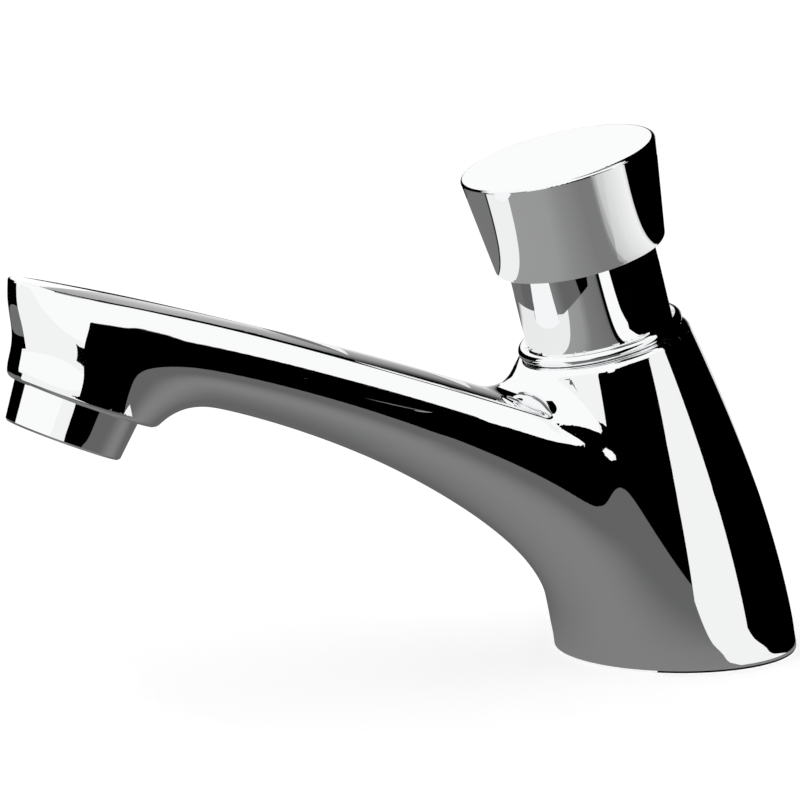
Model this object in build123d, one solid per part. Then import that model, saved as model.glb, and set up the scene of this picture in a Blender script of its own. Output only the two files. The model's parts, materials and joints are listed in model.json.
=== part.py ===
"""Push timed tap for a basin deck, built in millimetres with +Z up.

The origin is the centre of the base on the deck. The spout points to -Y. The column, the
cartridge and the push button share one axis that leans towards the spout.
"""
import os
from math import cos, radians, sin, sqrt

from build123d import *

os.makedirs("parts", exist_ok=True)

# The casting: base, leaning column and its mouth
base_radius = 24.0
base_edge_round = 1.0
lean_angle = 15.0
mouth_height = 65.6
mouth_radius = 17.2
mouth_edge_round = 1.5
column_bend_power = 1.2
column_taper_power = 1.75
column_station_shares = (0, 0.25, 0.5, 0.75, 1)

# The casting: spout, a flat top and a round underside that flares into the column
spout_tip_reach = 138.2
spout_tip_height = 83.4
spout_tip_half_width = 13.0
spout_root_inset = 7.5
spout_top_tip_half_width = 11.2
spout_top_root_half_width = 13.0
spout_widest_depth_share = 0.44
spout_keel_width_share = 0.62
spout_keel_depth_share = 0.66
spout_flare_power = 2.5
spout_top_crown = 1.35
spout_mouth_drop = 6.2
spout_top_run_in = 21.6
spout_top_fall = 7.3
spout_under_shares = ((0.91, 0.967), (0.717, 0.884), (0.463, 0.723), (0.278, 0.563), (0.158, 0.43), (0.064, 0.281))
spout_station_shares = (0, 0.2, 0.4, 0.6, 0.75, 0.88, 1)
spout_root_fillet = 2.0

# The casting: nozzle boss and the rounded nose above it
nose_overhang = 12.0
nose_depth = 23.9
nozzle_angle = 22.0
nozzle_radius = 13.6
nose_waist_depth_share = 0.381
nose_waist_shift = 2.3
nose_waist_half_width = 13.3
nose_waist_reach = 12.8
nose_brow_depth_share = 0.661
nose_brow_shift = 5.7
nose_brow_turn = 6.0
nose_brow_half_width = 12.9
nose_brow_reach = 13.2
nose_top_half_width = 11.9
nose_top_reach = 12.9
nose_corner_fillet = 2.0
nose_tip_round = 1.0

# Bores of the casting
bore_radius = 13.0
recess_depth = 1.4
chamber_radius = 10.5
waterway_radius = 4.6
waterway_station_shares = (0.62, 0.42, 0.22, 0.08)
waterway_depth_share = 0.5
recess_overlap = 3.0
plenum_radius = 8.5
plenum_depth = 3.5

# Deck connections
inlet_thread_radius = 7.5
inlet_thread_depth = 9.0
inlet_neck_radius = 6.0
inlet_offset = 8.5
strainer_seat_radius = 7.0
strainer_seat_depth = 2.2
stud_thread_radius = 3.4
stud_thread_depth = 10.0
stud_offset = 9.5
seal_groove_radius = 18.6
seal_groove_width = 3.0
seal_groove_depth = 1.6

# Cartridge head: trim bead, neck sleeve and guide bush
bead_radius = 16.4
bead_height = 2.3
neck_radius = 14.5
neck_length = 23.6
neck_edge_round = 0.6
neck_cap_thickness = 2.0
neck_cap_hole_radius = 6.3
sleeve_skirt_depth = 2.1
sleeve_bore_radius = 11.0
sleeve_guide_bore_radius = 10.0
sleeve_guide_depth = 5.5
bush_length = 6.0
bush_groove_depth = 0.8
bush_groove_width = 1.2

# Cartridge: gland, barrel, seat and seals
gland_flange_thickness = 2.0
gland_plug_depth = 4.5
gland_seal_height = 1.6
gland_key_radius = 1.2
gland_key_depth = 1.2
gland_key_turns = (60, 180, 300)
barrel_length = 25.5
barrel_inner_radius = 9.5
barrel_ledge_thickness = 2.5
seat_hole_radius = 6.2
seat_thickness = 3.0
seat_lip_height = 0.6
seat_lip_width = 1.0
window_count = 6
window_height = 3.0
window_width = 7.0
window_gap = 0.5
ring_wire_radius = 0.8
lower_ring_rise = 1.1
upper_ring_rise = 17.0
pin_radius = 0.8
pin_head_radius = 1.4
pin_head_height = 0.8
pin_overhang = 0.5
pin_orbit_radius = 6.9
pin_groove_width = 0.3

# Push button and the moving spindle
press_travel = 8.0
button_crown = 3.4
button_bead_gap = 7.2
button_low_radius = 16.8
button_top_radius = 19.45
button_low_round = 1.2
button_top_round = 0.7
button_wall = 1.9
button_hub_radius = 5.8
button_hub_depth = 2.5
button_thread_depth = 4.5
press_clearance = 0.5
locknut_height = 2.5
locknut_flats = 9.0
stem_radius = 4.0
stem_waist_radius = 3.0
stem_tail_radius = 2.4
stem_end_chamfer = 0.4
stem_tail_length = 0.5
piston_height = 6.0
piston_crown = 2.0
piston_hub_radius = 5.0
piston_skirt_thickness = 1.4
piston_rest_gap = 1.0
lip_seal_height = 1.2
lip_seal_depth = 1.2
circlip_thickness = 0.8
circlip_reach = 1.4
circlip_seat_depth = 0.3
circlip_opening = 3.0
washer_thickness = 3.0
washer_radius = 8.6
washer_edge_round = 0.4
plate_thickness = 1.5
plate_radius = 7.6
plate_rim = 0.6
valve_nut_height = 2.5
valve_nut_flats = 7.0
spring_wire_radius = 0.45
spring_mean_radius = 6.9
spring_turns = 5
chamber_end_gap = 0.4

# Inlet strainer and its clip
strainer_thickness = 1.2
strainer_hole_radius = 0.65
strainer_hole_pitch = 1.9
strainer_field_radius = 5.4
strainer_clip_height = 0.8
strainer_clip_width = 1.1
strainer_clip_opening = 3.0

# Aerator in the nozzle
aerator_drop = 7.8
aerator_top_radius = 12.25
aerator_low_radius = 11.4
aerator_edge_bevel = 0.4
aerator_thread_radius = 10.5
aerator_thread_length = 5.5
aerator_inner_radius = 9.15
aerator_lip_height = 0.9
aerator_lip_radius = 8.5
aerator_washer_thickness = 2.0
aerator_washer_width = 1.9
screen_thickness = 0.5
screen_hole_radius = 0.55
screen_hole_pitch = 1.75
screen_field_radius = 7.4
regulator_thickness = 3.0
regulator_hub_radius = 3.0
regulator_slot_count = 8
regulator_slot_radius = 0.9
regulator_rim = 0.8
insert_hole_radius = 1.15
insert_hole_pitch = 3.2
insert_field_radius = 7.0

# Fits and the overrun that every cut shares
press_fit = 0.02
slide_fit = 0.05
thread_fit = 0.03
cut_overrun = 1.0

# Places that follow from the sizes above, heights counted along the leaning axis
lean = radians(lean_angle)
nozzle_reach = spout_tip_reach - nose_overhang
nozzle_height = spout_tip_height - nose_depth
neck_base_height = mouth_height + bead_height
neck_top_height = neck_base_height + neck_length
skirt_end_height = mouth_height - sleeve_skirt_depth
gland_seat_height = skirt_end_height - gland_flange_thickness
gland_end_height = gland_seat_height - gland_plug_depth
barrel_end_height = gland_seat_height - barrel_length
ledge_height = barrel_end_height + barrel_ledge_thickness
shoulder_height = barrel_end_height - seat_thickness
seat_face_height = shoulder_height - seat_lip_height
washer_end_height = seat_face_height - washer_thickness
plate_end_height = washer_end_height - plate_thickness
valve_nut_end_height = plate_end_height - valve_nut_height
stem_end_height = valve_nut_end_height - stem_tail_length
chamber_floor_height = stem_end_height - press_travel - chamber_end_gap
piston_top_height = gland_end_height - piston_rest_gap
piston_end_height = piston_top_height - piston_height
button_ceiling_height = neck_top_height + press_travel + press_clearance
hub_end_height = button_ceiling_height - button_hub_depth
locknut_end_height = hub_end_height - locknut_height
stem_top_height = hub_end_height + button_thread_depth
button_end_height = neck_base_height + press_travel + button_bead_gap
window_low_height = ledge_height + window_gap
window_top_height = window_low_height + window_height
barrel_radius = bore_radius - slide_fit
strainer_end_height = inlet_thread_depth + strainer_seat_depth
aerator_bore_depth = aerator_thread_length + aerator_washer_thickness
nose_waist_height = nose_depth * nose_waist_depth_share
nose_brow_height = nose_depth * nose_brow_depth_share
nose_corner_limit = nozzle_height + nose_waist_height
button_top_height = button_ceiling_height + button_crown
spout_root_half_width = base_radius - spout_root_inset


def lean_point(height):
    """A point on the leaning axis."""
    return Vector(0, -height * sin(lean), height * cos(lean))


def lean_plane(height=0.0):
    """The plane square to the leaning axis at a height along it."""
    return Plane(origin=lean_point(height), x_dir=(1, 0, 0), z_dir=(0, -sin(lean), cos(lean)))


def nozzle_plane(height=0.0):
    """The plane square to the nozzle axis, its height counted up from the boss face."""
    up = Vector(0, sin(radians(nozzle_angle)), cos(radians(nozzle_angle)))
    return Plane(origin=Vector(0, -nozzle_reach, nozzle_height) + up * height, x_dir=(1, 0, 0), z_dir=up)


def tube(outer, inner, low, high):
    """A plain ring between two heights, solid where the inner radius is zero."""
    face = Circle(outer)
    if inner > 0:
        face -= Circle(inner)
    return extrude(Pos(0, 0, low) * face, high - low)


def turned(outline):
    """A solid of revolution from a closed outline of radius and height."""
    return revolve(Plane.XZ * make_face(Polyline(*outline, close=True)), Axis.Z)


def rolled_ring(wire_radius, mean_radius, height):
    """A round-section ring that lies square to its axis."""
    return Pos(0, 0, height) * Torus(mean_radius, wire_radius)


def hole_grid(hole_radius, pitch, field_radius, low, high):
    """A triangular pattern of round holes inside a field, with one at the centre."""
    rows = int(field_radius / pitch) + 1
    spots = []
    for row in range(-rows, rows + 1):
        for column in range(-2 * rows, 2 * rows + 1):
            x = pitch * (column + row / 2)
            y = pitch * row * sqrt(3) / 2
            if sqrt(x * x + y * y) + hole_radius <= field_radius:
                spots.append((x, y))
    return [Pos(x, y, low) * extrude(Circle(hole_radius), high - low) for x, y in spots]


def snap_ring(outer, inner, opening, low, high):
    """A flat clip with a gap towards -Y."""
    ring = tube(outer, inner, low, high)
    gap = Pos(0, -outer, (low + high) / 2) * Box(opening, 2 * outer, high - low + cut_overrun)
    return ring - gap


# The casting

def column_plane(share):
    """A station plane of the column, level at the deck and square to the lean at the mouth."""
    tilt = lean * share
    back = mouth_height * sin(lean) * share ** column_bend_power
    origin = (0, -back, mouth_height * cos(lean) * share)
    return Plane(origin=origin, x_dir=(1, 0, 0), z_dir=(0, -sin(tilt), cos(tilt)))


def column_solid():
    """The leaning column, a loft of circles from the base to the mouth."""
    stations = []
    for share in column_station_shares:
        radius = base_radius - (base_radius - mouth_radius) * share ** column_taper_power
        stations.append(column_plane(share) * Circle(radius))
    return loft(stations)


def spout_top_line():
    """The side view of the spout's flat top, from the tip to inside the column."""
    tip = Vector(0, -spout_tip_reach, spout_tip_height)
    mouth_front = (lean_plane(mouth_height) * Pos(0, -mouth_radius, 0)).position
    root = mouth_front + Vector(0, spout_top_run_in, -spout_mouth_drop - spout_top_fall)
    up = Vector(1, 0, 0).cross((root - tip).normalized())
    return ThreePointArc(tip, (tip + root) / 2 + up * spout_top_crown, root)


def spout_under_line():
    """The side view of the spout's underside, from inside the nozzle boss round to the base."""
    points = [(nozzle_plane(cut_overrun) * Pos(0, nozzle_radius - nose_waist_reach, 0)).position]
    span = nozzle_reach - nozzle_radius - base_radius
    for reach_share, height_share in spout_under_shares:
        points.append(Vector(0, -base_radius - span * reach_share, nozzle_height * height_share))
    points.append(Vector(0, base_edge_round - base_radius, base_edge_round * 2))
    return Spline(*points)


def above_spout():
    """Everything above the spout's flat top, to trim the spout and the nose along one surface."""
    line = spout_top_line()
    ahead = line @ 0 - (line % 0) * nozzle_radius
    behind = line @ 1 + (line % 1) * nozzle_radius
    sky = Vector(0, 0, spout_tip_height)
    side = make_face([Line(ahead, line @ 0), line, Polyline(line @ 1, behind, behind + sky, ahead + sky, ahead)])
    return extrude(side, 2 * nozzle_radius, both=True)


def crest_share():
    """Where along the top line the nose has its centre."""
    return nose_top_reach / spout_top_line().length


def spout_ends(share):
    """The top and bottom points of one station of the spout."""
    top = spout_top_line() @ (crest_share() + (1 - crest_share()) * share)
    return top, spout_under_line() @ share


def spout_face(share):
    """One station: a flat top, sides that swell below it and a rounded keel."""
    top, bottom = spout_ends(share)
    up = (top - bottom).normalized()
    depth = (top - bottom).length
    flare = share ** spout_flare_power
    half_width = spout_tip_half_width + (spout_root_half_width - spout_tip_half_width) * flare
    half_top = spout_top_tip_half_width + (spout_top_root_half_width - spout_top_tip_half_width) * flare
    widest = -depth * spout_widest_depth_share
    keel = (half_width * spout_keel_width_share, widest + (-depth - widest) * spout_keel_depth_share)
    plane = Plane(origin=top, x_dir=(1, 0, 0), z_dir=Vector(1, 0, 0).cross(up))
    side_run = (half_width - half_top, widest)
    raised = half_top + side_run[0] * cut_overrun / widest
    crown = Line((-raised, cut_overrun), (raised, cut_overrun))
    right_side = Spline((raised, cut_overrun), (half_width, widest), tangents=[side_run, (0, -1)])
    keel_line = Spline((half_width, widest), keel, (0, -depth), (-keel[0], keel[1]), (-half_width, widest),
                       tangents=[(0, -1), (0, 1)])
    left_side = Spline((-half_width, widest), (-raised, cut_overrun), tangents=[(0, 1), (side_run[0], -widest)])
    return plane * make_face([crown, right_side, keel_line, left_side])


def spout_solid():
    """The spout, a loft that fans from the nozzle round to the deck."""
    return loft([spout_face(share) for share in spout_station_shares])


def nose_solid():
    """The rounded nose over the nozzle, waisted a little below its flat top."""
    line = spout_top_line()
    up = Vector(1, 0, 0).cross(line % crest_share())
    crest_plane = Plane(origin=line @ crest_share() + up * cut_overrun, x_dir=(1, 0, 0), z_dir=up)
    waist_plane = nozzle_plane(nose_waist_height) * Pos(0, -nose_waist_shift, 0)
    lowest = nozzle_plane() * Circle(nozzle_radius)
    waist = waist_plane * Ellipse(nose_waist_half_width, nose_waist_reach)
    brow_plane = nozzle_plane(nose_brow_height) * Pos(0, -nose_brow_shift, 0) * Rot(nose_brow_turn, 0, 0)
    brow = brow_plane * Ellipse(nose_brow_half_width, nose_brow_reach)
    highest = crest_plane * Ellipse(nose_top_half_width, nose_top_reach)
    return loft([lowest, waist, brow, highest])


def casting_solid():
    """Column, spout and nose in one casting with its edges rounded, before it is bored."""
    spout = spout_solid()
    nose = nose_solid()
    arm = spout + nose
    corner = [edge for edge in new_edges(spout, nose, combined=arm) if edge.center().Z < nose_corner_limit]
    arm = fillet(corner, nose_corner_fillet)
    trimmed = arm - above_spout()
    tip = new_edges(arm, above_spout(), combined=trimmed).sort_by(Axis.Y)[0]
    arm = fillet(tip, nose_tip_round)
    column = column_solid()
    body = column + arm
    body = fillet(new_edges(column, arm, combined=body), spout_root_fillet)
    body = fillet([edge for edge in body.edges() if is_mouth_edge(edge)], mouth_edge_round)
    deck_edges = [edge for edge in body.edges() if abs(edge.center().Z) < slide_fit]
    return fillet(deck_edges, base_edge_round)


def is_mouth_edge(edge):
    """True for the rim of the column's mouth."""
    place = lean_plane(mouth_height).to_local_coords(edge.center())
    return place.Z > -slide_fit and abs(place.Y) < slide_fit


def waterway():
    """The passage inside the spout, from the window recess to the plenum over the aerator."""
    start = lean_plane((window_low_height + window_top_height) / 2) * Pos(0, waterway_radius - bore_radius, 0)
    places = [start.position]
    for share in waterway_station_shares:
        top, bottom = spout_ends(share)
        places.append(top + (bottom - top) * waterway_depth_share)
    places.append(nozzle_plane(aerator_bore_depth + plenum_depth / 2).origin + Vector(0, waterway_radius, 0))
    route = Spline(*places)
    section = Plane(origin=route @ 0, z_dir=route % 0) * Circle(waterway_radius)
    return sweep(section, route)


def make_tap_body():
    """The casting with its cartridge bore, waterway, nozzle bore and deck connections."""
    body = casting_solid()
    stack = tube(bore_radius, 0, shoulder_height, mouth_height + cut_overrun)
    stack += tube(bore_radius + recess_depth, 0, ledge_height, window_top_height + recess_overlap)
    stack += tube(chamber_radius, 0, chamber_floor_height, shoulder_height + cut_overrun)
    nozzle_bore = tube(aerator_thread_radius, 0, -cut_overrun, aerator_bore_depth)
    nozzle_bore += tube(plenum_radius, 0, aerator_bore_depth - cut_overrun, aerator_bore_depth + plenum_depth)
    inlet = tube(inlet_thread_radius, 0, -cut_overrun, inlet_thread_depth)
    inlet += tube(strainer_seat_radius, 0, 0, strainer_end_height)
    inlet += tube(inlet_neck_radius, 0, 0, chamber_floor_height + cut_overrun)
    stud = tube(stud_thread_radius, 0, -cut_overrun, stud_thread_depth)
    groove = tube(seal_groove_radius + seal_groove_width, seal_groove_radius, -cut_overrun, seal_groove_depth)
    body -= lean_plane() * stack
    body -= waterway()
    body -= nozzle_plane() * nozzle_bore
    body -= Pos(0, -inlet_offset, 0) * inlet
    body -= Pos(0, stud_offset, 0) * stud
    return body - groove


# Cartridge head

def make_collar_ring():
    """The half-round trim bead between the mouth and the neck."""
    crown = bead_height / 2
    inner = bore_radius + slide_fit
    outline = Polyline((bead_radius - crown, mouth_height), (inner, mouth_height), (inner, neck_base_height),
                       (bead_radius - crown, neck_base_height))
    nose = ThreePointArc((bead_radius - crown, neck_base_height), (bead_radius, mouth_height + crown),
                         (bead_radius - crown, mouth_height))
    return lean_plane() * revolve(Plane.XZ * make_face([outline, nose]), Axis.Z)


def make_neck_sleeve():
    """The bright neck that the button slides over, with the skirt that holds the gland down."""
    sleeve = tube(neck_radius, 0, neck_base_height, neck_top_height)
    sleeve += tube(barrel_radius, 0, skirt_end_height, neck_base_height)
    guide_floor = neck_top_height - neck_cap_thickness - sleeve_guide_depth + slide_fit
    sleeve -= tube(sleeve_bore_radius, 0, skirt_end_height - cut_overrun, guide_floor)
    sleeve -= tube(sleeve_guide_bore_radius, 0, guide_floor, neck_top_height - neck_cap_thickness)
    sleeve -= tube(neck_cap_hole_radius, 0, guide_floor, neck_top_height + cut_overrun)
    rim = [edge for edge in sleeve.edges().filter_by(GeomType.CIRCLE)
           if edge.center().Z > neck_top_height - slide_fit and edge.radius > neck_cap_hole_radius]
    return lean_plane() * fillet(rim, neck_edge_round)


def make_guide_bush():
    """The plastic bush that keeps the stem central in the neck."""
    top = neck_top_height - neck_cap_thickness - sleeve_guide_depth
    bush = tube(sleeve_bore_radius - press_fit, stem_radius + slide_fit, top - bush_length, top)
    middle = top - bush_length / 2
    outer = sleeve_bore_radius - press_fit
    low = middle - bush_groove_width / 2
    return lean_plane() * (bush - tube(outer + cut_overrun, outer - bush_groove_depth, low, low + bush_groove_width))


# Cartridge

def make_gland_nut():
    """The plug that closes the timing chamber, with key holes, a seal groove and a metering hole."""
    nut = tube(barrel_radius, stem_radius + slide_fit, gland_seat_height, skirt_end_height)
    nut += tube(barrel_inner_radius - slide_fit, stem_radius + slide_fit, gland_end_height, gland_seat_height)
    middle = (gland_end_height + gland_seat_height) / 2
    reach = stem_radius + 2 * (slide_fit + ring_wire_radius)
    nut -= tube(reach, 0, middle - gland_seal_height / 2 - slide_fit, middle + gland_seal_height / 2 + slide_fit)
    pin_hole = tube(pin_radius + slide_fit, 0, gland_end_height - cut_overrun, skirt_end_height)
    pin_hole += tube(pin_head_radius + slide_fit, 0, skirt_end_height - pin_head_height, skirt_end_height + cut_overrun)
    nut -= Pos(pin_orbit_radius, 0, 0) * pin_hole
    key = tube(gland_key_radius, 0, skirt_end_height - gland_key_depth, skirt_end_height + cut_overrun)
    for turn in gland_key_turns:
        nut -= Rot(0, 0, turn) * Pos(pin_orbit_radius, 0, 0) * key
    return lean_plane() * nut


def make_stem_seal_ring():
    """The rubber ring that seals the stem in the gland."""
    mean = stem_radius + slide_fit + ring_wire_radius
    return lean_plane() * rolled_ring(ring_wire_radius - press_fit, mean, (gland_end_height + gland_seat_height) / 2)


def barrel_ring_heights():
    """Where the two barrel seals lie along the axis."""
    return barrel_end_height + lower_ring_rise, barrel_end_height + upper_ring_rise


def make_cartridge_barrel():
    """The timing cylinder, with the ledge for the spring and a ring of outlet windows."""
    barrel = tube(barrel_radius, barrel_inner_radius, barrel_end_height, gland_seat_height)
    barrel += tube(barrel_inner_radius, seat_hole_radius, barrel_end_height, ledge_height)
    for height in barrel_ring_heights():
        low = height - ring_wire_radius - slide_fit
        depth = 2 * ring_wire_radius + slide_fit
        barrel -= tube(bore_radius + cut_overrun, bore_radius - depth, low, low + 2 * (ring_wire_radius + slide_fit))
    middle = (window_low_height + window_top_height) / 2
    for number in range(window_count):
        turn = 360 * (number + 0.5) / window_count
        barrel -= Rot(0, 0, turn) * Pos(bore_radius, 0, middle) * Box(bore_radius, window_width, window_height)
    return lean_plane() * barrel


def make_barrel_seal(height):
    """One rubber ring between the barrel and the casting."""
    mean = bore_radius - press_fit - ring_wire_radius
    return lean_plane() * rolled_ring(ring_wire_radius - press_fit, mean, height)


def make_seat_ring():
    """The valve seat, with a raised lip that the washer closes on."""
    ring = tube(barrel_radius, seat_hole_radius, shoulder_height, barrel_end_height)
    return lean_plane() * (ring + tube(seat_hole_radius + seat_lip_width, seat_hole_radius, seat_face_height,
                                       shoulder_height))


def make_timing_pin():
    """The grooved pin that meters the timing chamber, which sets the flow time."""
    low = gland_end_height - pin_overhang
    pin = tube(pin_radius, 0, low, skirt_end_height - pin_head_height)
    pin += tube(pin_head_radius, 0, skirt_end_height - pin_head_height, skirt_end_height)
    groove = Pos(pin_radius, 0, (low + skirt_end_height) / 2)
    pin -= groove * Box(2 * pin_groove_width, pin_groove_width, skirt_end_height - low + cut_overrun)
    return lean_plane() * Pos(pin_orbit_radius, 0, 0) * pin


# The moving spindle

def make_push_button():
    """The flared button: a cup over the neck with a tapped hub under its top."""
    outer = turned([(0, button_end_height), (button_low_radius, button_end_height),
                    (button_top_radius, button_top_height), (0, button_top_height)])
    outer = fillet(outer.edges().filter_by(GeomType.CIRCLE).sort_by(Axis.Z)[0], button_low_round)
    outer = fillet(outer.edges().filter_by(GeomType.CIRCLE).sort_by(Axis.Z)[-1], button_top_round)
    taper = (button_top_radius - button_low_radius) / (button_top_height - button_end_height)
    inner_low = button_low_radius - button_wall
    inner_top = inner_low + taper * (button_ceiling_height - button_end_height)
    start = button_end_height - cut_overrun
    cavity = turned([(0, start), (inner_low - taper * cut_overrun, start), (inner_top, button_ceiling_height),
                     (0, button_ceiling_height)])
    hub = tube(button_hub_radius, 0, hub_end_height, button_ceiling_height)
    tapped = tube(stem_waist_radius + thread_fit, 0, hub_end_height - cut_overrun, stem_top_height + thread_fit)
    return lean_plane() * (outer - cavity + hub - tapped)


def hex_nut(flats, bore, low, high):
    """A plain six-sided nut."""
    face = RegularPolygon(flats / 2, 6, major_radius=False) - Circle(bore)
    return extrude(Pos(0, 0, low) * face, high - low)


def make_button_locknut():
    """The nut that locks the button on the stem."""
    return lean_plane() * hex_nut(locknut_flats, stem_waist_radius + thread_fit, locknut_end_height, hub_end_height)


def make_stem():
    """The turned stem, its shoulders carrying the piston and the washer."""
    waist_end = piston_top_height
    outline = [(0, stem_end_height), (stem_tail_radius - stem_end_chamfer, stem_end_height),
               (stem_tail_radius, stem_end_height + stem_end_chamfer), (stem_tail_radius, seat_face_height),
               (stem_waist_radius, seat_face_height), (stem_waist_radius, waist_end), (stem_radius, waist_end),
               (stem_radius, locknut_end_height), (stem_waist_radius, locknut_end_height),
               (stem_waist_radius, stem_top_height), (0, stem_top_height)]
    groove = tube(stem_radius, stem_waist_radius - circlip_seat_depth,
                  piston_end_height - circlip_thickness - slide_fit, piston_end_height)
    return lean_plane() * (turned(outline) - groove)


def make_piston():
    """The timing piston, hollow below for the spring and grooved above for its lip seal."""
    skirt_radius = barrel_inner_radius - slide_fit
    piston = tube(skirt_radius, stem_waist_radius + slide_fit, piston_end_height, piston_top_height)
    piston -= tube(skirt_radius - piston_skirt_thickness, piston_hub_radius, piston_end_height - cut_overrun,
                   piston_top_height - piston_crown)
    low, high = lip_seal_ends()
    return lean_plane() * (piston - tube(skirt_radius + cut_overrun, skirt_radius - lip_seal_depth, low, high))


def lip_seal_ends():
    """The heights of the lip seal, centred in the piston's crown."""
    middle = piston_top_height - piston_crown / 2
    return middle - lip_seal_height / 2, middle + lip_seal_height / 2


def make_lip_seal():
    """The rubber lip seal of the piston, flared towards the timing chamber."""
    low, high = lip_seal_ends()
    inner = barrel_inner_radius - slide_fit - lip_seal_depth + press_fit
    outer = barrel_inner_radius - press_fit
    heel = outer - (outer - inner) / 4
    return lean_plane() * turned([(inner, low), (heel, low), (outer, high), (inner, high)])


def make_piston_circlip():
    """The clip that holds the piston up against the stem's shoulder."""
    inner = stem_waist_radius - circlip_seat_depth + press_fit
    low = piston_end_height - circlip_thickness
    return lean_plane() * snap_ring(inner + circlip_reach, inner, circlip_opening, low, piston_end_height)


def make_valve_washer():
    """The rubber washer that closes on the seat."""
    washer = tube(washer_radius, stem_tail_radius + slide_fit, washer_end_height, seat_face_height)
    rims = [edge for edge in washer.edges().filter_by(GeomType.CIRCLE) if edge.radius > stem_waist_radius]
    return lean_plane() * fillet(rims, washer_edge_round)


def make_washer_plate():
    """The brass plate under the washer."""
    plate = tube(plate_radius, stem_tail_radius + slide_fit, plate_end_height, washer_end_height)
    return lean_plane() * (plate - tube(plate_radius - plate_rim, valve_nut_flats / sqrt(3) + plate_rim,
                                        plate_end_height - cut_overrun, plate_end_height + plate_thickness / 3))


def make_valve_nut():
    """The nut that holds the washer and its plate on the stem."""
    bore = stem_tail_radius + thread_fit
    return lean_plane() * hex_nut(valve_nut_flats, bore, valve_nut_end_height, plate_end_height)


def make_return_spring():
    """The coil spring between the barrel's ledge and the piston, as it stands at rest."""
    low = ledge_height + spring_wire_radius
    high = piston_top_height - piston_crown - spring_wire_radius
    route = Pos(0, 0, low) * Helix((high - low) / spring_turns, high - low, spring_mean_radius)
    section = Plane(origin=route @ 0, z_dir=route % 0) * Circle(spring_wire_radius)
    return lean_plane() * sweep(section, route, is_frenet=True)


# Deck side

def make_inlet_strainer():
    """The perforated disc that keeps grit out of the valve."""
    low = strainer_end_height - strainer_thickness
    disc = tube(strainer_seat_radius - slide_fit, 0, low, strainer_end_height)
    holes = hole_grid(strainer_hole_radius, strainer_hole_pitch, strainer_field_radius, low - cut_overrun,
                      strainer_end_height + cut_overrun)
    return Pos(0, -inlet_offset, 0) * (disc - holes)


def make_strainer_clip():
    """The clip that holds the strainer against its step."""
    high = strainer_end_height - strainer_thickness
    outer = strainer_seat_radius - press_fit
    ring = snap_ring(outer, outer - strainer_clip_width, strainer_clip_opening, high - strainer_clip_height, high)
    return Pos(0, -inlet_offset, 0) * ring


def make_base_seal():
    """The flat rubber ring in the groove under the base."""
    outer = seal_groove_radius + seal_groove_width - slide_fit
    return tube(outer, seal_groove_radius + slide_fit, 0, seal_groove_depth)


# Aerator

def make_aerator_housing():
    """The ring that shows under the nozzle, with its thread above and a lip below."""
    outline = [(aerator_lip_radius, -aerator_drop), (aerator_low_radius - aerator_edge_bevel, -aerator_drop),
               (aerator_low_radius, aerator_edge_bevel - aerator_drop), (aerator_top_radius, 0),
               (aerator_thread_radius - slide_fit, 0), (aerator_thread_radius - slide_fit, aerator_thread_length),
               (aerator_inner_radius, aerator_thread_length), (aerator_inner_radius, aerator_lip_height - aerator_drop),
               (aerator_lip_radius, aerator_lip_height - aerator_drop)]
    return nozzle_plane() * turned(outline)


def make_aerator_washer():
    """The rubber washer between the aerator and the casting."""
    outer = aerator_thread_radius - slide_fit
    return nozzle_plane() * tube(outer, outer - aerator_washer_width, aerator_thread_length, aerator_bore_depth)


def make_aerator_screen():
    """The perforated disc that the water leaves through."""
    low = aerator_lip_height - aerator_drop
    high = low + screen_thickness
    disc = tube(aerator_inner_radius - slide_fit, 0, low, high)
    return nozzle_plane() * (disc - hole_grid(screen_hole_radius, screen_hole_pitch, screen_field_radius,
                                              low - cut_overrun, high + cut_overrun))


def make_aerator_insert():
    """The flow straightener, a disc with a field of parallel channels."""
    low = aerator_lip_height - aerator_drop + screen_thickness
    high = aerator_thread_length - regulator_thickness
    block = tube(aerator_inner_radius - slide_fit, 0, low, high)
    return nozzle_plane() * (block - hole_grid(insert_hole_radius, insert_hole_pitch, insert_field_radius,
                                               low - cut_overrun, high + cut_overrun))


def make_flow_regulator():
    """The flow limiter: a ring of holes round a solid hub."""
    low = aerator_thread_length - regulator_thickness
    outer = aerator_inner_radius - slide_fit
    disc = tube(outer, 0, low, aerator_thread_length)
    middle = (outer + regulator_hub_radius) / 2
    disc -= tube(outer - regulator_rim, regulator_hub_radius, aerator_thread_length - regulator_thickness / 3,
                 aerator_thread_length + cut_overrun)
    hole = tube(regulator_slot_radius, 0, low - cut_overrun, aerator_thread_length)
    for number in range(regulator_slot_count):
        disc -= Rot(0, 0, 360 * number / regulator_slot_count) * Pos(middle, 0, 0) * hole
    return nozzle_plane() * disc


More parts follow.
